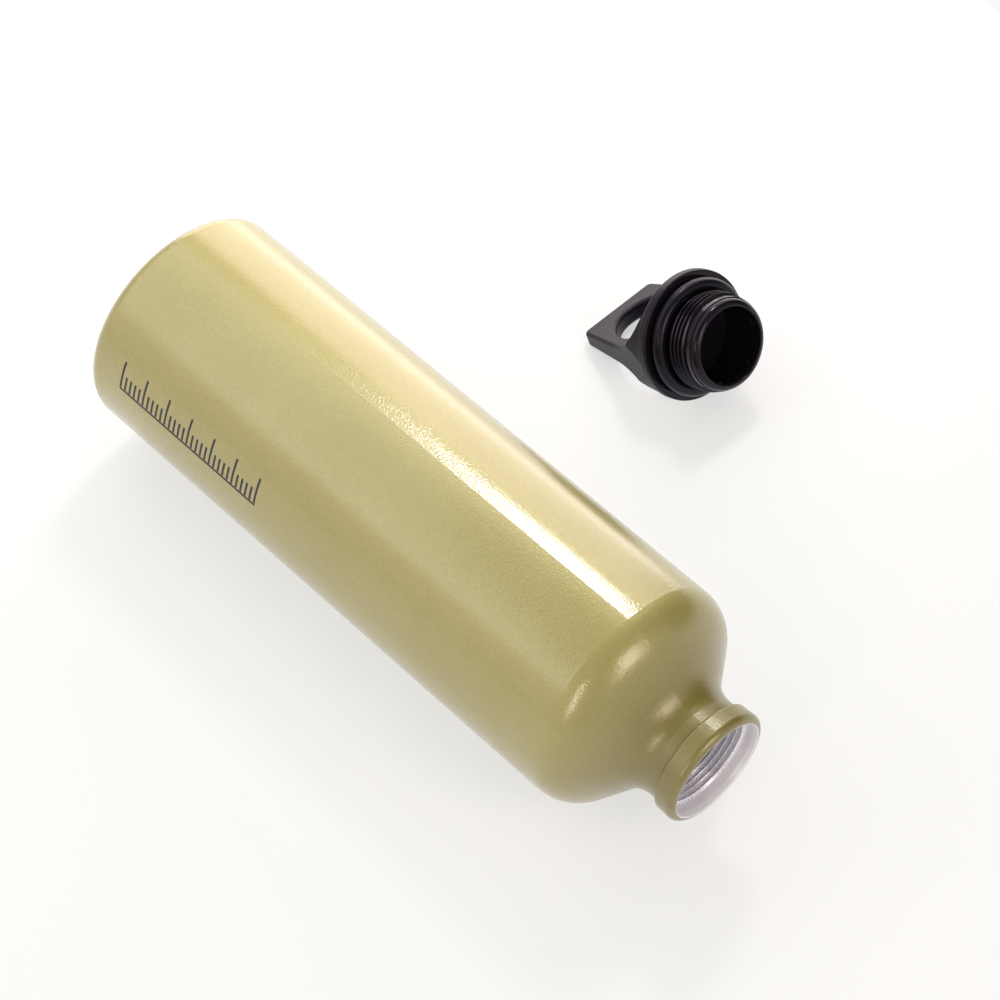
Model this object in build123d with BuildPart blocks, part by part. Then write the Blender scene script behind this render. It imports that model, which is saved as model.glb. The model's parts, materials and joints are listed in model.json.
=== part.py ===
from build123d import *
import os
from math import asin, atan2, cos, hypot, radians, sin, tan

# Camping fuel bottle with its screw cap taken off, in millimetres.
# The bottle lies on its side along X with its mouth towards +X, and the cap lies beside it
# on the same surface. +Z is up. The origin is on that surface, under the middle of the box
# round both pieces.

# Bottle: one impact-extruded aluminium shell, necked in, beaded and threaded at the mouth
body_diameter = 73.0
bottle_height = 228.0
body_wall = 1.0
base_wall = 1.5
base_corner_radius = 4.0
foot_width = 2.0
foot_inner_round = 1.5
base_dome_depth = 4.5
shoulder_radius = 13.0
shoulder_slope_angle = 54.0
neck_fillet_radius = 10.0
neck_wall = 1.0
neck_length = 3.4

# Beaded collar round the mouth, standing out from the neck
collar_overhang = 1.6
collar_height = 7.2
collar_back_round = 1.0
collar_front_round = 2.1
collar_flare_angle = 3.0
mouth_inner_round = 0.3
mouth_bevel_depth = 1.5

# Screw fit: plain walls at the depth of the thread grooves, the ridges left off both, with the
# room that the ridges take up between them
thread_bore_diameter = 32.0
thread_room = 1.3

# Screw cap: one plastic moulding of loop handle, flange and hollow threaded plug
flange_overhang = 2.4
flange_thickness = 3.1
flange_edge_round = 0.6
handle_length = 37.3
handle_end_width = 30.0
handle_root_thickness = 7.0
blade_taper_angle = 2.93
flare_end_angle = 88.0
handle_corner_radius = 2.1
handle_edge_round = 1.2
finger_hole_side_web = 2.4
finger_hole_end_web = 6.2
finger_hole_root_web = 2.8
finger_hole_round = 1.6
plug_length = 17.0
plug_wall_thickness = 2.3
plug_web_thickness = 0.8
nose_round = 2.2
nose_inner_round = 0.5

# Seal: rubber ring in a groove between the flange and the thread
seal_section = 4.5
seal_clearance = 0.1
seal_groove_depth = 0.3

# Where the cap lies: along and aside from the middle of the bottle's foot
cap_along = 107.5
cap_aside = 118.0

# Sizes worked out for the bottle: the neck and collar are built outwards from the threaded bore
body_radius = body_diameter / 2
thread_bore_radius = thread_bore_diameter / 2
neck_radius = thread_bore_radius + neck_wall
collar_radius = neck_radius + collar_overhang
mouth_radius = collar_radius - collar_front_round - mouth_inner_round
inner_radius = body_radius - body_wall
inner_corner_radius = base_corner_radius - body_wall
foot_outer_radius = body_radius - base_corner_radius
foot_inner_radius = foot_outer_radius - foot_width

# The shoulder is two arcs with a straight cone between them, so the cone's length follows from
# how far the neck is drawn in
shoulder_slope = radians(shoulder_slope_angle)
shoulder_arcs = shoulder_radius + neck_fillet_radius
cone_drop = body_radius - neck_radius - shoulder_arcs * (1 - cos(shoulder_slope))
cone_length = cone_drop / sin(shoulder_slope)
shoulder_length = shoulder_arcs * sin(shoulder_slope) + cone_length * cos(shoulder_slope)
collar_start = bottle_height - collar_height
cylinder_length = collar_start - neck_length - shoulder_length

# Inside, the wall follows the same two arcs and cone, down to the bore of the neck
inner_shoulder_radius = shoulder_radius - body_wall
inner_neck_fillet = neck_fillet_radius + neck_radius - thread_bore_radius
inner_arcs = inner_shoulder_radius + inner_neck_fillet
inner_cone_drop = inner_radius - thread_bore_radius - inner_arcs * (1 - cos(shoulder_slope))
inner_cone_length = inner_cone_drop / sin(shoulder_slope)

# The collar's side is a straight flare tangent to its back and front rounds
flare = radians(collar_flare_angle)
flare_front = (
    bottle_height - collar_front_round * (1 + sin(flare)),
    collar_radius - collar_front_round * (1 - cos(flare)),
)
flare_back_x = collar_start + collar_back_round * (1 - sin(flare))
flare_rise = (flare_front[0] - flare_back_x) * sin(flare) / cos(flare)
flare_back = (flare_back_x, flare_front[1] - flare_rise)
collar_back_radius = flare_back[1] - collar_back_round * cos(flare)

# Sizes worked out for the cap and its seal: the flange covers the collar, and the plug is built
# inwards from the bore that it screws into
flange_radius = collar_radius + flange_overhang
handle_end_half = handle_end_width / 2
handle_root_rise = handle_root_thickness / 2
handle_back_radius = flange_radius - flange_edge_round
plug_core_radius = thread_bore_radius - thread_room
plug_bore_radius = thread_bore_radius - (thread_room + plug_wall_thickness)
seal_radius = seal_section / 2
seal_seat_radius = plug_core_radius - seal_groove_depth
seal_mean_radius = seal_seat_radius + seal_clearance + seal_radius
seal_groove_width = seal_section + seal_clearance + seal_groove_depth

# The plate's side view is a straight taper, tangent to a flare that ends almost square to the
# flange's back, so the flare's radius follows from how far it climbs
blade_slope = radians(blade_taper_angle)
flare_end = radians(flare_end_angle)
flare_radius = (handle_back_radius - handle_root_rise) / (cos(blade_slope) - cos(flare_end))
flare_root_x = -flange_thickness - flare_radius * (sin(flare_end) - sin(blade_slope))
handle_end_rise = handle_root_rise - (handle_length + flare_root_x) * tan(blade_slope)

# The finger hole is as large as the webs round it leave room for, midway along that room
finger_hole_room = handle_length - finger_hole_end_web - flange_thickness - finger_hole_root_web
finger_hole_diameter = min(handle_end_width - 2 * finger_hole_side_web, finger_hole_room)
finger_hole_offset = handle_length - finger_hole_end_web - finger_hole_room / 2

# The cap rests on the bottom edge of its handle and on the back edge of its flange
edge_centre_rise = handle_end_rise + handle_edge_round * (tan(blade_slope) - 1 / cos(blade_slope))
handle_contact = (handle_edge_round - handle_length, -edge_centre_rise)
flange_contact = (flange_edge_round - flange_thickness, flange_edge_round - flange_radius)
contact_run = flange_contact[0] - handle_contact[0]
contact_drop = handle_contact[1] - flange_contact[1]
round_difference = flange_edge_round - handle_edge_round
cap_tilt = atan2(contact_drop, contact_run) + asin(round_difference / hypot(contact_run, contact_drop))
cap_height = flange_edge_round - flange_contact[0] * sin(cap_tilt) - flange_contact[1] * cos(cap_tilt)

# Places in the part's frame: the box round both pieces is centred on the origin
box_width = body_radius + cap_aside + flange_radius
foot_x = -bottle_height / 2
bottle_y = body_radius - box_width / 2

bottle_plane = Plane(origin=(foot_x, bottle_y, body_radius), x_dir=(1, 0, 0), z_dir=(0, -1, 0))
bottle_axis = Axis(bottle_plane.origin, bottle_plane.x_dir)

cap_plane = Plane(
    origin=(foot_x + cap_along, bottle_y + cap_aside, cap_height),
    x_dir=(cos(cap_tilt), 0, sin(cap_tilt)),
    z_dir=(0, -1, 0),
)
cap_axis = Axis(cap_plane.origin, cap_plane.x_dir)
handle_plane = Plane(origin=cap_plane.origin, x_dir=cap_plane.x_dir, z_dir=cap_plane.y_dir)
flange_plane = Plane(origin=cap_plane.origin, x_dir=cap_plane.y_dir, z_dir=cap_plane.x_dir)


# Bottle shell: the whole wall, inside and out, is one outline turned round the axis
with BuildPart() as bottle_shell:
    with BuildSketch(bottle_plane) as shell_section:
        with BuildLine() as shell_outline:
            dome = TangentArc((base_dome_depth, 0), (0, foot_inner_radius), tangent=(0, 1))
            foot = Line(dome @ 1, (0, foot_outer_radius))
            corner = JernArc(foot @ 1, (0, 1), base_corner_radius, -90)
            cylinder = Line(corner @ 1, (cylinder_length, body_radius))
            shoulder = JernArc(cylinder @ 1, (1, 0), shoulder_radius, -shoulder_slope_angle)
            cone = Line(shoulder @ 1, shoulder @ 1 + shoulder % 1 * cone_length)
            neck_fillet = JernArc(cone @ 1, cone % 1, neck_fillet_radius, shoulder_slope_angle)
            neck = Line(neck_fillet @ 1, (collar_start, neck_radius))
            collar_back = Line(neck @ 1, (collar_start, collar_back_radius))
            back_round = JernArc(
                collar_back @ 1, (0, 1), collar_back_round, collar_flare_angle - 90
            )
            collar_side = Line(back_round @ 1, flare_front)
            front_round = JernArc(
                collar_side @ 1, collar_side % 1, collar_front_round, -90 - collar_flare_angle
            )
            lip_round = JernArc(front_round @ 1, (0, -1), mouth_inner_round, -90)
            bevel_end = bottle_height - mouth_inner_round - mouth_bevel_depth
            bevel = Line(lip_round @ 1, (bevel_end, thread_bore_radius))
            inner_shoulder = JernArc(
                (cylinder_length, inner_radius), (1, 0), inner_shoulder_radius, -shoulder_slope_angle
            )
            inner_cone = Line(
                inner_shoulder @ 1, inner_shoulder @ 1 + inner_shoulder % 1 * inner_cone_length
            )
            inner_fillet = JernArc(
                inner_cone @ 1, inner_cone % 1, inner_neck_fillet, shoulder_slope_angle
            )
            bore = Line(bevel @ 1, inner_fillet @ 1)
            inner_side = Line((base_wall + inner_corner_radius, inner_radius), inner_shoulder @ 0)
            inner_corner = JernArc(inner_side @ 0, (-1, 0), inner_corner_radius, 90)
            inner_foot = Line(inner_corner @ 1, (base_wall, foot_inner_radius))
            inner_dome = TangentArc(
                (base_wall + base_dome_depth, 0), inner_foot @ 1, tangent=(0, 1)
            )
            centre_line = Line(dome @ 0, inner_dome @ 0)
        make_face()
        foot_edge = shell_section.vertices().sort_by_distance((0, foot_inner_radius, 0))[0]
        fillet(foot_edge, foot_inner_round)
    revolve(axis=bottle_axis)
bottle_shell.part.label = "bottle_shell"


# Screw cap: the handle is a tapered plate that flares up to the flange, trimmed to the flange's
# round, with the finger hole through it; the flange and hollow plug are turned on to it
with BuildPart() as screw_cap:
    with BuildSketch(handle_plane) as handle_plan:
        with BuildLine():
            Polyline(
                (-flange_thickness, handle_back_radius),
                (-handle_length, handle_end_half),
                (-handle_length, -handle_end_half),
                (-flange_thickness, -handle_back_radius),
                close=True,
            )
        make_face()
        fillet(handle_plan.vertices().group_by(Axis.X)[0], handle_corner_radius)
    extrude(amount=flange_radius, both=True)
    with BuildSketch(cap_plane):
        with BuildLine():
            end_face = Line((-handle_length, 0), (-handle_length, handle_end_rise))
            blade = Line(end_face @ 1, (flare_root_x, handle_root_rise))
            flare_sweep = flare_end_angle - blade_taper_angle
            flare_arc = JernArc(blade @ 1, blade % 1, flare_radius, flare_sweep)
            Line(flare_arc @ 1, (-flange_thickness, 0))
            mirror(about=Plane.XZ)
        make_face()
    extrude(amount=flange_radius, both=True, mode=Mode.INTERSECT)

    # Soften the long edges and the end edges of the plate, all the way round
    plate_edges = ShapeList()
    for edge in screw_cap.edges():
        place = cap_plane.to_local_coords(edge.center())
        on_broad_face = abs(place.Y) > handle_edge_round
        at_side = abs(place.Z) > handle_edge_round
        at_end = place.X < flare_root_x - handle_edge_round
        if on_broad_face and (at_side or at_end):
            plate_edges.append(edge)
    fillet(plate_edges, handle_edge_round)

    with BuildSketch(flange_plane):
        Circle(handle_back_radius)
    extrude(amount=-handle_length - flange_thickness, mode=Mode.INTERSECT)
    with BuildSketch(handle_plane):
        with Locations((-finger_hole_offset, 0)):
            Circle(finger_hole_diameter / 2)
    extrude(amount=flange_radius, both=True, mode=Mode.SUBTRACT)
    hole_edges = screw_cap.edges(Select.LAST)
    hole_rims = hole_edges - hole_edges.filter_by(GeomType.LINE)
    fillet(hole_rims, finger_hole_round)

    with BuildSketch(cap_plane) as turned_section:
        with BuildLine():
            back = Line((-flange_thickness, 0), (-flange_thickness, handle_back_radius))
            back_edge = JernArc(back @ 1, (0, 1), flange_edge_round, -90)
            rim = Line(back_edge @ 1, (-flange_edge_round, flange_radius))
            front_edge = JernArc(rim @ 1, (1, 0), flange_edge_round, -90)
            groove_side = Line(front_edge @ 1, (0, seal_seat_radius))
            seat = Line(groove_side @ 1, (seal_groove_width, seal_seat_radius))
            groove_end = Line(seat @ 1, (seal_groove_width, plug_core_radius))
            core = Line(groove_end @ 1, (plug_length - nose_round, plug_core_radius))
            nose = JernArc(core @ 1, (1, 0), nose_round, -90)
            face_end = plug_bore_radius + nose_inner_round
            nose_face = Line(nose @ 1, (plug_length, face_end))
            inner_edge = JernArc(nose_face @ 1, (0, -1), nose_inner_round, -90)
            plug_wall = Line(inner_edge @ 1, (plug_web_thickness, plug_bore_radius))
            Line(plug_wall @ 1, (plug_web_thickness, 0))
            Line((plug_web_thickness, 0), back @ 0)
        make_face()
    revolve(axis=cap_axis)
screw_cap.part.label = "screw_cap"


# Seal ring: round section, just clear of the flange and of the groove it is stretched into
with BuildPart() as seal_ring:
    with BuildSketch(cap_plane):
        with Locations((seal_clearance + seal_radius, seal_mean_radius)):
            Circle(seal_radius)
    revolve(axis=cap_axis)
seal_ring.part.label = "seal_ring"


os.makedirs("parts", exist_ok=True)
export_step(bottle_shell.part, "parts/bottle_shell.step")
export_step(screw_cap.part, "parts/screw_cap.step")
export_step(seal_ring.part, "parts/seal_ring.step")
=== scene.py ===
# Looks of the camping fuel bottle and its cap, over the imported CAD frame.
# Lengths are in metres, built from millimetres, and directions are in the part's own frame:
# the bottle lies along X with its mouth towards +X, the cap lies at its +Y side, and +Z is up.

import json
from math import cos, radians, sin, tau

import bmesh
import bpy
from mathutils import Matrix, Vector


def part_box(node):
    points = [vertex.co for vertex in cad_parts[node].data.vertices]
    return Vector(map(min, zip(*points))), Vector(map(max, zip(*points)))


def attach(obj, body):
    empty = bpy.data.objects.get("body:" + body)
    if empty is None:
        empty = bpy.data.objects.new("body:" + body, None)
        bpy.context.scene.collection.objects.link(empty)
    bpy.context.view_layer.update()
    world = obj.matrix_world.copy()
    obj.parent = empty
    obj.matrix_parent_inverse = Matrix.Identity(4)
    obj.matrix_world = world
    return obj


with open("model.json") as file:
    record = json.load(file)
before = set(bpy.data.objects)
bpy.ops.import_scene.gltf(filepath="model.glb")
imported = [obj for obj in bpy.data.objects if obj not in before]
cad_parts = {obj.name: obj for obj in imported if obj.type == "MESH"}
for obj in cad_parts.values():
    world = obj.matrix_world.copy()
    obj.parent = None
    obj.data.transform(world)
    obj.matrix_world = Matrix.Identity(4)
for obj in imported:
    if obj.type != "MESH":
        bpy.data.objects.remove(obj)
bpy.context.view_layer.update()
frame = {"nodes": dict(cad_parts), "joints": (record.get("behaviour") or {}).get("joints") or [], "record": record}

MM = 0.001

# The camera of the photograph: where it stands from the part, and what it looks at
VIEW_AZIMUTH = -44.14
VIEW_ELEVATION = 54.01
VIEW_DISTANCE = 916.2 * MM
VIEW_TARGET = Vector((5.4, -29.9, 36.5)) * MM
LENS = 112.0

# Round walls that the details are fitted to, read from the part's mounts
mounts = {mount["name"]: mount for mount in frame["record"]["mounts"]}
NECK_BORE = mounts["neck_thread"]
PLUG_CORE = mounts["cap_plug"]
bottle_axis = Vector(NECK_BORE["axis"]).normalized()
cap_axis = Vector(PLUG_CORE["axis"]).normalized()
neck_bore_radius = NECK_BORE["dims"]["r_mm"] * MM
plug_core_radius = PLUG_CORE["dims"]["r_mm"] * MM

# Ends of the shell and of the cap's plug, along their own axes
shell_low, shell_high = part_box("bottle_shell")
body_radius = (shell_high.z - shell_low.z) / 2
bottle_foot = Vector((shell_low.x, NECK_BORE["pos_m"][1], NECK_BORE["pos_m"][2]))
bottle_height = shell_high.x - shell_low.x
bore_outer_end = NECK_BORE["pos_m"][0] - shell_low.x + NECK_BORE["dims"]["length_mm"] / 2 * MM
turn_joint = next(joint for joint in frame["joints"] if joint["name"] == "cap_turn")
flange_centre = Vector(turn_joint["pos_m"])
core_middle = (Vector(PLUG_CORE["pos_m"]) - flange_centre).dot(cap_axis)
core_half_length = PLUG_CORE["dims"]["length_mm"] / 2 * MM
core_start = core_middle - core_half_length
core_end = core_middle + core_half_length

# Screw thread, right-handed, the same on both pieces
THREAD_PITCH = 1.75 * MM
THREAD_HEIGHT = 1.05 * MM
THREAD_BASE_WIDTH = 1.2 * MM
THREAD_CREST_RADIUS = 0.2 * MM
RIDGE_SINK = 0.15 * MM

# Where the coat ends on the lip, and how far up from the foot the domed base reaches
COAT_EDGE_RADIUS = 16.55 * MM
BASE_REACH = 8.0 * MM


def linear_colour(hex_code):
    """Linear RGBA of an sRGB hex colour."""
    channels = [int(hex_code[i : i + 2], 16) / 255 for i in (1, 3, 5)]
    return [c / 12.92 if c <= 0.04045 else ((c + 0.055) / 1.055) ** 2.4 for c in channels] + [1.0]


def add_node(tree, kind, inputs=None, **settings):
    """Adds a node; each input is a value, or an output socket to link to."""
    node = tree.nodes.new(kind)
    for name, value in settings.items():
        setattr(node, name, value)
    for name, value in (inputs or {}).items():
        if isinstance(value, bpy.types.NodeSocket):
            tree.links.new(value, node.inputs[name])
        else:
            node.inputs[name].default_value = value
    return node


def new_material(name):
    """A material with an empty node tree, and that tree."""
    material = bpy.data.materials.new(name)
    material.use_nodes = True
    material.node_tree.nodes.clear()
    return material, material.node_tree


def turned_coordinates(tree, foot, axis):
    """Height along an axis, distance from it, and how far the surface faces away from it."""
    place = add_node(tree, "ShaderNodeTexCoord")
    offset = add_node(
        tree, "ShaderNodeVectorMath", {0: place.outputs["Object"], 1: foot}, operation="SUBTRACT"
    ).outputs[0]
    height = add_node(
        tree, "ShaderNodeVectorMath", {0: offset, 1: axis}, operation="DOT_PRODUCT"
    ).outputs["Value"]
    along = add_node(
        tree, "ShaderNodeVectorMath", {0: axis, "Scale": height}, operation="SCALE"
    ).outputs[0]
    spoke = add_node(
        tree, "ShaderNodeVectorMath", {0: offset, 1: along}, operation="SUBTRACT"
    ).outputs[0]
    distance = add_node(
        tree, "ShaderNodeVectorMath", {0: spoke}, operation="LENGTH"
    ).outputs["Value"]
    outward = add_node(
        tree, "ShaderNodeVectorMath", {0: spoke}, operation="NORMALIZE"
    ).outputs[0]
    facing = add_node(
        tree,
        "ShaderNodeVectorMath",
        {0: outward, 1: place.outputs["Normal"]},
        operation="DOT_PRODUCT",
    ).outputs["Value"]
    return place.outputs["Object"], height, distance, facing


def powder_coated_aluminium():
    """Impact-extruded aluminium, powder-coated outside in champagne gold: a fine grit that breaks
    the edges of highlights, over a soft metallic glow. Inside and round the mouth the metal is
    bare, machined with fine turning marks."""
    material, tree = new_material("powder_coated_aluminium")
    place, height, distance, facing = turned_coordinates(tree, bottle_foot, bottle_axis)

    # Grit of the coat, drawn at 0.7 mm because its real 0.2 mm would be lost
    grit = add_node(
        tree,
        "ShaderNodeTexNoise",
        {"Vector": place, "Scale": 1 / (0.7 * MM), "Detail": 2.0, "Roughness": 0.6},
    )
    flakes = add_node(
        tree, "ShaderNodeTexVoronoi", {"Vector": place, "Scale": 1 / (0.6 * MM)}
    )
    clouds = add_node(
        tree, "ShaderNodeTexNoise", {"Vector": place, "Scale": 1 / (35 * MM), "Detail": 2.0}
    )
    tone = add_node(
        tree,
        "ShaderNodeMix",
        {
            0: clouds.outputs["Fac"],
            6: linear_colour("#a69a54"),
            7: linear_colour("#b1a563"),
        },
        data_type="RGBA",
    )
    flake_tone = add_node(
        tree,
        "ShaderNodeMapRange",
        {0: flakes.outputs["Color"], 1: 0.0, 2: 1.0, 3: 0.94, 4: 1.06},
    )
    # Painted shade: the coat's colour darkens from the shoulder to the mouth, and its gloss turns duller there
    shade_and_dull_share = add_node(
        tree,
        "ShaderNodeMapRange",
        {0: height, 1: bottle_height - 38 * MM, 2: bottle_height - 12 * MM, 3: 0.0, 4: 1.0},
        interpolation_type="SMOOTHSTEP",
    )
    # Painted shade: the darker olive given to the shoulder, neck and collar
    painted_shade_tone = add_node(
        tree,
        "ShaderNodeMix",
        {0: shade_and_dull_share.outputs[0], 6: tone.outputs[2], 7: linear_colour("#82752f")},
        data_type="RGBA",
    )
    coat_colour = add_node(
        tree,
        "ShaderNodeVectorMath",
        {0: painted_shade_tone.outputs[2], "Scale": flake_tone.outputs[0]},
        operation="SCALE",
    )
    coat_roughness = add_node(
        tree, "ShaderNodeMapRange", {0: grit.outputs["Fac"], 1: 0.3, 2: 0.7, 3: 0.40, 4: 0.52}
    )
    grit_bump = add_node(
        tree,
        "ShaderNodeBump",
        {"Height": grit.outputs["Fac"], "Strength": 0.5, "Distance": 0.12 * MM},
    )
    gloss = add_node(
        tree, "ShaderNodeMapRange", {0: shade_and_dull_share.outputs[0], 1: 0.0, 2: 1.0, 3: 0.15, 4: 0.3}
    )
    coat = add_node(
        tree,
        "ShaderNodeBsdfPrincipled",
        {
            "Base Color": coat_colour.outputs[0],
            "Metallic": 0.25,
            "Roughness": coat_roughness.outputs[0],
            "IOR": 1.5,
            "Coat Weight": 1.0,
            "Coat Roughness": gloss.outputs[0],
            "Coat IOR": 1.65,
            "Normal": grit_bump.outputs[0],
            "Coat Normal": grit_bump.outputs[0],
        },
    )

    # Turning marks of the machined mouth, 0.12 mm apart
    reach = add_node(tree, "ShaderNodeMath", {0: height, 1: distance}, operation="ADD")
    marks = add_node(
        tree,
        "ShaderNodeTexNoise",
        {"W": reach.outputs[0], "Scale": 1 / (0.12 * MM), "Detail": 1.0},
        noise_dimensions="1D",
    )
    mark_bump = add_node(
        tree,
        "ShaderNodeBump",
        {"Height": marks.outputs["Fac"], "Strength": 0.35, "Distance": 0.01 * MM},
    )
    bare = add_node(
        tree,
        "ShaderNodeBsdfPrincipled",
        {
            "Base Color": linear_colour("#fbf9fd"),
            "Metallic": 0.25,
            "Roughness": 0.34,
            "Normal": mark_bump.outputs[0],
        },
    )

    # Bare where the wall faces the axis, but for the domed base, and within the coat's edge on
    # the lip
    turned_in = add_node(
        tree, "ShaderNodeMath", {0: facing, 1: -0.05}, operation="LESS_THAN"
    ).outputs[0]
    past_base = add_node(
        tree, "ShaderNodeMath", {0: height, 1: BASE_REACH}, operation="GREATER_THAN"
    ).outputs[0]
    faces_in = add_node(
        tree, "ShaderNodeMath", {0: turned_in, 1: past_base}, operation="MULTIPLY"
    ).outputs[0]
    within_edge = add_node(
        tree, "ShaderNodeMath", {0: distance, 1: COAT_EDGE_RADIUS}, operation="LESS_THAN"
    ).outputs[0]
    past_neck = add_node(
        tree, "ShaderNodeMath", {0: height, 1: bottle_height / 2}, operation="GREATER_THAN"
    ).outputs[0]
    on_lip = add_node(
        tree, "ShaderNodeMath", {0: within_edge, 1: past_neck}, operation="MULTIPLY"
    ).outputs[0]
    bare_share = add_node(tree, "ShaderNodeMath", {0: faces_in, 1: on_lip}, operation="MAXIMUM")
    finish = add_node(
        tree,
        "ShaderNodeMixShader",
        {0: bare_share.outputs[0], 1: coat.outputs[0], 2: bare.outputs[0]},
    )
    add_node(tree, "ShaderNodeOutputMaterial", {"Surface": finish.outputs[0]})
    return material


def machined_aluminium():
    """Aluminium cut on a lathe: bright, with sharp light and dark lines on the thread's flanks."""
    material, tree = new_material("machined_aluminium")
    place = add_node(tree, "ShaderNodeTexCoord")
    chatter = add_node(
        tree,
        "ShaderNodeTexNoise",
        {"Vector": place.outputs["Object"], "Scale": 1 / (0.4 * MM), "Detail": 2.0},
    )
    roughness = add_node(
        tree, "ShaderNodeMapRange", {0: chatter.outputs["Fac"], 1: 0.3, 2: 0.7, 3: 0.24, 4: 0.30}
    )
    metal = add_node(
        tree,
        "ShaderNodeBsdfPrincipled",
        {
            "Base Color": linear_colour("#f8f5fc"),
            "Metallic": 0.7,
            "Roughness": roughness.outputs[0],
        },
    )
    add_node(tree, "ShaderNodeOutputMaterial", {"Surface": metal.outputs[0]})
    return material


def moulded_polypropylene():
    """Injection-moulded black polypropylene: the handle and flange satin with a faint grain and a
    few pale dust specks, the plug glossy from a polished core."""
    material, tree = new_material("moulded_polypropylene")
    place, height, _, _ = turned_coordinates(tree, flange_centre, cap_axis)
    grain = add_node(
        tree,
        "ShaderNodeTexNoise",
        {"Vector": place, "Scale": 1 / (0.6 * MM), "Detail": 3.0, "Roughness": 0.6},
    )
    specks = add_node(
        tree, "ShaderNodeTexNoise", {"Vector": place, "Scale": 1 / (0.9 * MM), "Detail": 0.0}
    )
    speck_share = add_node(
        tree,
        "ShaderNodeMapRange",
        {0: specks.outputs["Fac"], 1: 0.76, 2: 0.80, 3: 0.0, 4: 0.2},
    )
    on_plug = add_node(tree, "ShaderNodeMath", {0: height, 1: 0.0}, operation="GREATER_THAN")
    off_plug = add_node(
        tree, "ShaderNodeMath", {0: 1.0, 1: on_plug.outputs[0]}, operation="SUBTRACT"
    )
    dust = add_node(
        tree,
        "ShaderNodeMath",
        {0: speck_share.outputs[0], 1: off_plug.outputs[0]},
        operation="MULTIPLY",
    )
    colour = add_node(
        tree,
        "ShaderNodeMix",
        {
            0: dust.outputs[0],
            6: linear_colour("#151217"),
            7: linear_colour("#6a6468"),
        },
        data_type="RGBA",
    )
    satin = add_node(
        tree, "ShaderNodeMapRange", {0: grain.outputs["Fac"], 1: 0.3, 2: 0.7, 3: 0.34, 4: 0.46}
    )
    roughness = add_node(
        tree,
        "ShaderNodeMix",
        {0: on_plug.outputs[0], 2: satin.outputs[0], 3: 0.12},
    )
    grain_depth = add_node(
        tree,
        "ShaderNodeMapRange",
        {0: on_plug.outputs[0], 1: 0.0, 2: 1.0, 3: 0.3, 4: 0.0},
    )
    bump = add_node(
        tree,
        "ShaderNodeBump",
        {
            "Height": grain.outputs["Fac"],
            "Strength": grain_depth.outputs[0],
            "Distance": 0.04 * MM,
        },
    )
    plastic = add_node(
        tree,
        "ShaderNodeBsdfPrincipled",
        {
            "Base Color": colour.outputs[2],
            "Roughness": roughness.outputs[0],
            "IOR": 1.49,
            "Specular IOR Level": 0.35,
            "Specular Tint": linear_colour("#d8cdea"),
            "Normal": bump.outputs[0],
        },
    )
    add_node(tree, "ShaderNodeOutputMaterial", {"Surface": plastic.outputs[0]})
    return material


def moulded_nitrile_rubber():
    """Moulded nitrile rubber: dense black with a soft oily sheen."""
    material, tree = new_material("moulded_nitrile_rubber")
    place = add_node(tree, "ShaderNodeTexCoord")
    bloom = add_node(
        tree,
        "ShaderNodeTexNoise",
        {"Vector": place.outputs["Object"], "Scale": 1 / (4 * MM), "Detail": 3.0},
    )
    colour = add_node(
        tree,
        "ShaderNodeMix",
        {0: bloom.outputs["Fac"], 6: linear_colour("#0b0a0c"), 7: linear_colour("#131115")},
        data_type="RGBA",
    )
    roughness = add_node(
        tree, "ShaderNodeMapRange", {0: bloom.outputs["Fac"], 1: 0.3, 2: 0.7, 3: 0.24, 4: 0.32}
    )
    rubber = add_node(
        tree,
        "ShaderNodeBsdfPrincipled",
        {
            "Base Color": colour.outputs[2],
            "Roughness": roughness.outputs[0],
            "IOR": 1.52,
            "Specular IOR Level": 0.3,
            "Specular Tint": linear_colour("#d8cdea"),
        },
    )
    add_node(tree, "ShaderNodeOutputMaterial", {"Surface": rubber.outputs[0]})
    return material


def pad_printed_ink():
    """Pad-printed dark ink: a thin semi-matt film that follows the coat's grit."""
    material, tree = new_material("pad_printed_ink")
    place = add_node(tree, "ShaderNodeTexCoord")
    grit = add_node(
        tree,
        "ShaderNodeTexNoise",
        {"Vector": place.outputs["Object"], "Scale": 1 / (0.7 * MM), "Detail": 2.0},
    )
    colour = add_node(
        tree,
        "ShaderNodeMix",
        {0: grit.outputs["Fac"], 6: linear_colour("#26242e"), 7: linear_colour("#3a3740")},
        data_type="RGBA",
    )
    ink = add_node(
        tree,
        "ShaderNodeBsdfPrincipled",
        {"Base Color": colour.outputs[2], "Roughness": 0.5, "IOR": 1.48},
    )
    add_node(tree, "ShaderNodeOutputMaterial", {"Surface": ink.outputs[0]})
    return material


def axis_frame(foot, axis):
    """Matrix whose local X is the axis, local Z leans up, and whose origin is the foot."""
    side = Vector((0, 0, 1)).cross(axis).normalized()
    up = axis.cross(side)
    turn = Matrix((axis, side, up)).transposed()
    return Matrix.Translation(foot) @ turn.to_4x4()


def mesh_piece(name, bm, material, body, smooth_angle=35.0):
    """A finished piece from a bmesh: closed, facing out, smooth up to an angle, riding a body."""
    bmesh.ops.remove_doubles(bm, verts=bm.verts, dist=0.001 * MM)
    bmesh.ops.recalc_face_normals(bm, faces=bm.faces)
    mesh = bpy.data.meshes.new(name)
    bm.to_mesh(mesh)
    bm.free()
    for polygon in mesh.polygons:
        polygon.use_smooth = True
    mesh.set_sharp_from_angle(angle=radians(smooth_angle))
    mesh.materials.append(material)
    piece = bpy.data.objects.new(name, mesh)
    bpy.context.scene.collection.objects.link(piece)
    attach(piece, body)
    return piece


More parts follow.
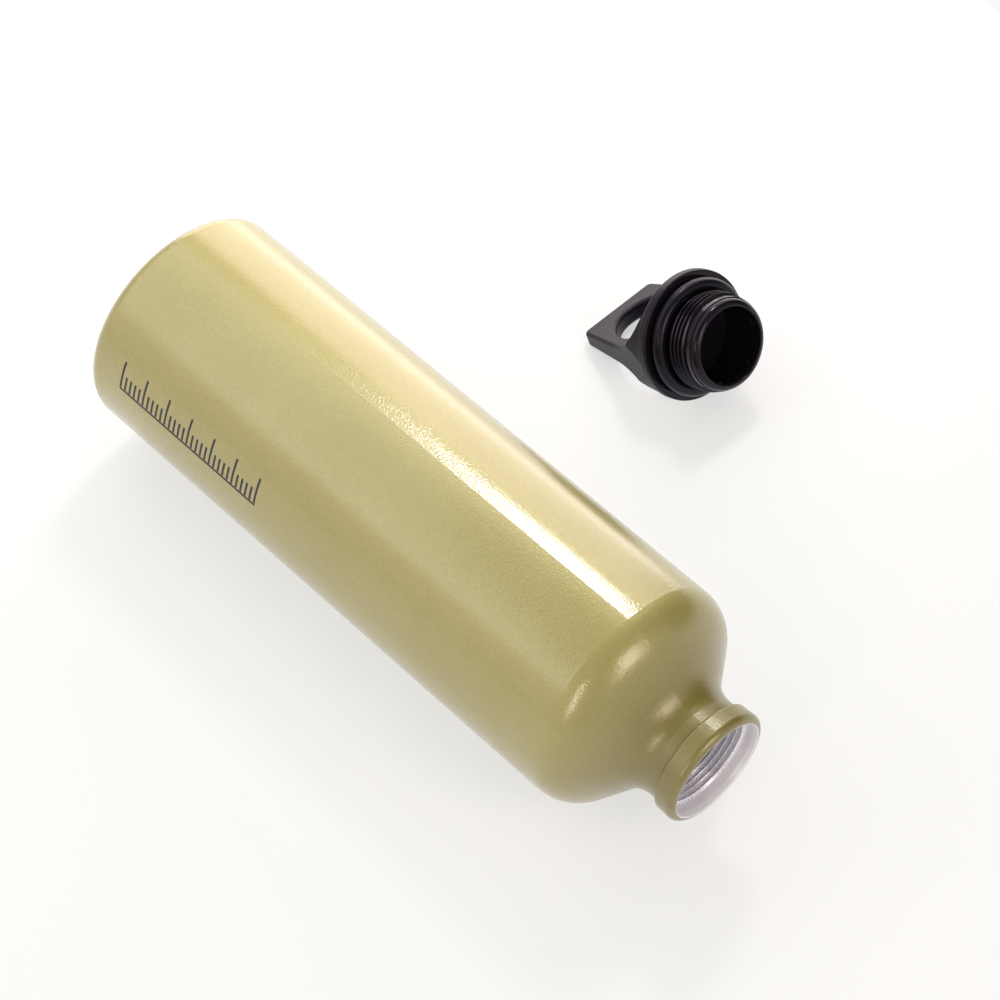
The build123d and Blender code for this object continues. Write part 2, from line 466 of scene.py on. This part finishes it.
def ridge_section(height, inward):
    """Section of a thread ridge as (along, radial) pairs, its foot sunk in the wall."""
    way = -1 if inward else 1
    half_foot = THREAD_BASE_WIDTH / 2
    crest_radius = min(THREAD_CREST_RADIUS, (height + RIDGE_SINK) / 2)
    # The crest is an arc of seven points, 22 degrees apart, with its top in the middle
    crest_start = 156
    crest_turn = 22
    crest_points = 7
    crest = []
    for step in range(crest_points):
        angle = radians(crest_start - crest_turn * step)
        crest.append((crest_radius * cos(angle), height - crest_radius * (1 - sin(angle))))
    points = [(-half_foot, -RIDGE_SINK), (-half_foot, 0.0)]
    points += crest
    points += [(half_foot, 0.0), (half_foot, -RIDGE_SINK)]
    return [(along, way * radial) for along, radial in points]


def screw_ridge(name, foot, axis, wall_radius, start, turns, inward, material, body):
    """One right-handed thread ridge on a round wall, fading into it at both ends."""
    steps_per_turn = 120
    fade_turns = 0.3
    faded_sink = RIDGE_SINK * 0.9
    steps = round(turns * steps_per_turn)
    place = axis_frame(foot, axis)
    bm = bmesh.new()
    rings = []
    for step in range(steps + 1):
        turn = step / steps_per_turn
        fade = min(1.0, turn / fade_turns, (turns - turn) / fade_turns)
        height = THREAD_HEIGHT * fade - faded_sink * (1 - fade)
        angle = tau * turn
        ring = []
        for along, radial in ridge_section(height, inward):
            radius = wall_radius + radial
            spot = Vector(
                (start + THREAD_PITCH * turn + along, radius * cos(angle), radius * sin(angle))
            )
            ring.append(bm.verts.new(place @ spot))
        rings.append(ring)
    for ring, following in zip(rings, rings[1:]):
        for i in range(len(ring)):
            j = (i + 1) % len(ring)
            bm.faces.new((ring[i], ring[j], following[j], following[i]))
    bm.faces.new(rings[0])
    bm.faces.new(reversed(rings[-1]))
    return mesh_piece(name, bm, material, body)


def turned_ring(name, foot, axis, section, material, body):
    """A ring turned from a closed section of (along, radius) pairs."""
    steps = 192
    place = axis_frame(foot, axis)
    bm = bmesh.new()
    rings = []
    for step in range(steps):
        angle = tau * step / steps
        rings.append(
            [
                bm.verts.new(place @ Vector((along, radius * cos(angle), radius * sin(angle))))
                for along, radius in section
            ]
        )
    for step, ring in enumerate(rings):
        following = rings[(step + 1) % steps]
        for i in range(len(ring)):
            j = (i + 1) % len(ring)
            bm.faces.new((ring[i], ring[j], following[j], following[i]))
    return mesh_piece(name, bm, material, body)


def neck_screw_thread(material):
    """Thread cut inside the neck, behind a plain counterbore at the mouth."""
    counterbore = 1.9 * MM
    turns = 4.6
    length = turns * THREAD_PITCH
    start = bore_outer_end - counterbore - length
    return screw_ridge(
        "neck_screw_thread",
        bottle_foot,
        bottle_axis,
        neck_bore_radius,
        start,
        turns,
        True,
        material,
        "bottle",
    )


def plug_screw_thread(material):
    """Thread moulded on the plug, from the seal's groove to the plain nose."""
    turns = 4.3
    start = core_start + THREAD_BASE_WIDTH / 2
    return screw_ridge(
        "plug_screw_thread",
        flange_centre,
        cap_axis,
        plug_core_radius,
        start,
        turns,
        False,
        material,
        "cap",
    )


def plug_land(material):
    """Low plain land between the last thread and the rounded nose, with a small step."""
    land_height = 0.32 * MM
    land_length = 1.7 * MM
    ramp = 0.25 * MM
    nose_gap = 0.15 * MM
    end = core_end - nose_gap
    start = end - land_length
    section = [
        (start, plug_core_radius - RIDGE_SINK),
        (start, plug_core_radius),
        (start + ramp, plug_core_radius + land_height),
        (end - ramp / 2, plug_core_radius + land_height),
        (end, plug_core_radius + land_height - ramp / 2),
        (end, plug_core_radius - RIDGE_SINK),
    ]
    return turned_ring(
        "plug_land", flange_centre, cap_axis, section, material, "cap"
    )


def plug_lugs(material):
    """Six small square pads on the wall of the plug's hollow, just inside its rim."""
    lug_count = 6
    lug_width = 1.6 * MM
    lug_height = 0.4 * MM
    lug_round = 0.15 * MM
    hollow_radius = 12.4 * MM
    rim_to_lug = 3.9 * MM
    nose_round = 2.2 * MM
    plug_end = core_end + nose_round
    place = axis_frame(flange_centre, cap_axis)
    for lug in range(lug_count):
        angle = tau * (lug + 0.5) / lug_count
        bm = bmesh.new()
        bmesh.ops.create_cube(bm, size=1.0)
        size = Vector((lug_width, lug_width, lug_height * 2))
        bmesh.ops.scale(bm, vec=size, verts=bm.verts)
        bmesh.ops.bevel(
            bm, geom=list(bm.edges), offset=lug_round, segments=2, affect="EDGES", profile=0.5
        )
        seat = (
            place
            @ Matrix.Translation((plug_end - rim_to_lug, 0, 0))
            @ Matrix.Rotation(angle, 4, "X")
            @ Matrix.Translation((0, 0, hollow_radius))
        )
        bmesh.ops.transform(bm, matrix=seat, verts=bm.verts)
        mesh_piece(f"plug_lug_{lug + 1}", bm, material, "cap")


def printed_scale(material):
    """A plain graduated scale printed along the shell near its base, as a film of ink."""
    first = 15 * MM
    spacing = 2.0 * MM
    tick_count = 31
    ticks_per_major = 5
    stroke = 0.75 * MM
    minor_length = 5.0 * MM
    major_length = 9.5 * MM
    baseline_angle = radians(166)
    film = 0.035 * MM
    sink = 0.1 * MM
    tick_overlap = 0.2
    arc_steps = 8
    place = axis_frame(bottle_foot, bottle_axis)
    bm = bmesh.new()

    def inked_patch(along_low, along_high, angle_low, angle_high, steps):
        rows = []
        for step in range(steps + 1):
            angle = angle_low + (angle_high - angle_low) * step / steps
            row = []
            for radius in (body_radius - sink, body_radius + film):
                for along in (along_low, along_high):
                    spot = Vector((along, radius * cos(angle), radius * sin(angle)))
                    row.append(bm.verts.new(place @ spot))
            rows.append(row)
        for low, high in zip(rows, rows[1:]):
            for a, b in ((0, 1), (1, 3), (3, 2), (2, 0)):
                bm.faces.new((low[a], low[b], high[b], high[a]))
        bm.faces.new([rows[0][i] for i in (0, 1, 3, 2)])
        bm.faces.new([rows[-1][i] for i in (0, 2, 3, 1)])

    last = first + spacing * (tick_count - 1)
    line = stroke / body_radius
    inked_patch(first - stroke / 2, last + stroke / 2, baseline_angle, baseline_angle + line, 2)
    for tick in range(tick_count):
        length = major_length if tick % ticks_per_major == 0 else minor_length
        along = first + spacing * tick
        inked_patch(
            along - stroke / 2,
            along + stroke / 2,
            baseline_angle - length / body_radius,
            baseline_angle - line * tick_overlap,
            arc_steps,
        )
    return mesh_piece("printed_scale", bm, material, "bottle")


def assign(node, material):
    """Gives a CAD node its finish."""
    piece = frame["nodes"][node]
    for slot in piece.material_slots:
        slot.material = material


def aim(thing, spot, target):
    """Puts a lamp or camera at a spot, looking at a target."""
    thing.location = spot
    thing.rotation_mode = "QUATERNION"
    thing.rotation_quaternion = (target - spot).to_track_quat("-Z", "Y")


def direction(azimuth, elevation):
    """Unit vector for a compass angle from +X towards +Y, and an angle above the floor."""
    a = radians(azimuth)
    e = radians(elevation)
    return Vector((cos(a) * cos(e), sin(a) * cos(e), sin(e)))


def area_light(name, spot, target, size, watts, hex_code):
    """A rectangular studio light, unseen by the camera."""
    lamp = bpy.data.lights.new(name, "AREA")
    lamp.shape = "RECTANGLE"
    lamp.size, lamp.size_y = size
    lamp.energy = watts
    lamp.color = linear_colour(hex_code)[:3]
    box = bpy.data.objects.new(name, lamp)
    bpy.context.scene.collection.objects.link(box)
    box.visible_camera = False
    aim(box, spot, target)


def softbox(name, azimuth, elevation, distance, size, watts, hex_code):
    """A light that looks at the middle of the part from a compass angle and a height."""
    middle = Vector((0, 0, 30 * MM))
    spot = middle + direction(azimuth, elevation) * distance
    area_light(name, spot, middle, size, watts, hex_code)


def studio_floor():
    """A pale matt sweep. Part of its white is its own to the camera, so it stays white and still
    takes the object's shadow."""
    material, tree = new_material("pale_studio_floor")
    path = add_node(tree, "ShaderNodeLightPath")
    seen = add_node(
        tree,
        "ShaderNodeMath",
        {0: path.outputs["Is Camera Ray"], 1: path.outputs["Is Glossy Ray"]},
        operation="MAXIMUM",
    )
    own_white = 0.58
    share = add_node(
        tree, "ShaderNodeMath", {0: seen.outputs[0], 1: own_white}, operation="MULTIPLY"
    )
    tint = add_node(
        tree,
        "ShaderNodeMix",
        {0: seen.outputs[0], 6: linear_colour("#c8c8c6"), 7: linear_colour("#f8f8f6")},
        data_type="RGBA",
    )
    paper = add_node(tree, "ShaderNodeBsdfDiffuse", {"Color": tint.outputs[2]})
    white = add_node(tree, "ShaderNodeEmission", {"Strength": 1.0})
    mixed = add_node(
        tree,
        "ShaderNodeMixShader",
        {0: share.outputs[0], 1: paper.outputs[0], 2: white.outputs[0]},
    )
    add_node(tree, "ShaderNodeOutputMaterial", {"Surface": mixed.outputs[0]})
    half = 3.0
    mesh = bpy.data.meshes.new("studio_floor")
    corners = [(-half, -half, 0), (half, -half, 0), (half, half, 0), (-half, half, 0)]
    mesh.from_pydata(corners, [], [(0, 1, 2, 3)])
    mesh.materials.append(material)
    floor = bpy.data.objects.new("studio_floor", mesh)
    bpy.context.scene.collection.objects.link(floor)


def studio_world():
    """Soft white room, white to the camera: dimmer overhead, and dark beyond the neck on the
    cap's side, which gives the shoulder its dark edge."""
    world = bpy.data.worlds.new("studio_world")
    bpy.context.scene.world = world
    world.use_nodes = True
    tree = world.node_tree
    tree.nodes.clear()
    sky = add_node(tree, "ShaderNodeTexCoord")
    towards_gap = add_node(
        tree,
        "ShaderNodeVectorMath",
        {0: sky.outputs["Generated"], 1: direction(98, 8)},
        operation="DOT_PRODUCT",
    )
    walls = add_node(
        tree,
        "ShaderNodeMapRange",
        {0: towards_gap.outputs["Value"], 1: 0.5, 2: 0.88, 3: 0.85, 4: 0.03},
        interpolation_type="SMOOTHSTEP",
    )
    height = add_node(tree, "ShaderNodeSeparateXYZ", {0: sky.outputs["Generated"]})
    ceiling = add_node(
        tree,
        "ShaderNodeMapRange",
        {0: height.outputs["Z"], 1: 0.3, 2: 0.85, 3: 1.0, 4: 0.4},
        interpolation_type="SMOOTHSTEP",
    )
    room = add_node(
        tree, "ShaderNodeMath", {0: walls.outputs[0], 1: ceiling.outputs[0]}, operation="MULTIPLY"
    )
    path = add_node(tree, "ShaderNodeLightPath")
    strength = add_node(
        tree,
        "ShaderNodeMix",
        {0: path.outputs["Is Camera Ray"], 2: room.outputs[0], 3: 1.0},
    )
    light = add_node(tree, "ShaderNodeBackground", {"Strength": strength.outputs[0]})
    add_node(tree, "ShaderNodeOutputWorld", {"Surface": light.outputs[0]})


def photograph_camera():
    """The photograph's view of the bottle."""
    lens = bpy.data.cameras.new("photograph_camera")
    lens.lens = LENS
    lens.sensor_width = 36.0
    camera = bpy.data.objects.new("photograph_camera", lens)
    bpy.context.scene.collection.objects.link(camera)
    back = direction(VIEW_AZIMUTH, VIEW_ELEVATION)
    aim(camera, VIEW_TARGET + back * VIEW_DISTANCE, VIEW_TARGET)
    bpy.context.scene.camera = camera


def light_studio():
    """A strip and a panel overhead and a long card beside the bottle, all ending short of the
    neck, so that the light falls off towards the mouth, and three weak cards for the highlights
    of the shoulder."""
    strip = Vector((-0.255, 0.35, 0.645))
    area_light("key_strip", strip, Vector((strip.x, 0, 0.05)), (0.12, 0.13), 1.6, "#ffffff")
    panel = Vector((-0.57, -0.45, 0.72))
    area_light("overhead_panel", panel, panel - Vector((0, 0, 1)), (0.62, 1.6), 4.3, "#ffffff")
    card = Vector((-0.39, 0.26, 0.18))
    area_light("side_card", card, card - Vector((0, 1, 0)), (0.70, 0.36), 2.1, "#fff3ee")
    softbox("right_card", 1, 38, 0.8, (0.30, 0.40), 1.7, "#fff1e6")
    softbox("front_strip", -70, 30, 0.8, (0.07, 0.42), 0.8, "#fff1e6")
    softbox("front_card", -123, 20, 1.0, (0.8, 0.5), 0.36, "#ffe9e2")


assign("bottle_shell", powder_coated_aluminium())
plastic = moulded_polypropylene()
assign("screw_cap", plastic)
assign("seal_ring", moulded_nitrile_rubber())

neck_screw_thread(machined_aluminium())
plug_screw_thread(plastic)
plug_land(plastic)
plug_lugs(plastic)
printed_scale(pad_printed_ink())

studio_world()
studio_floor()
light_studio()
photograph_camera()
bpy.context.scene.view_settings.view_transform = "Standard"
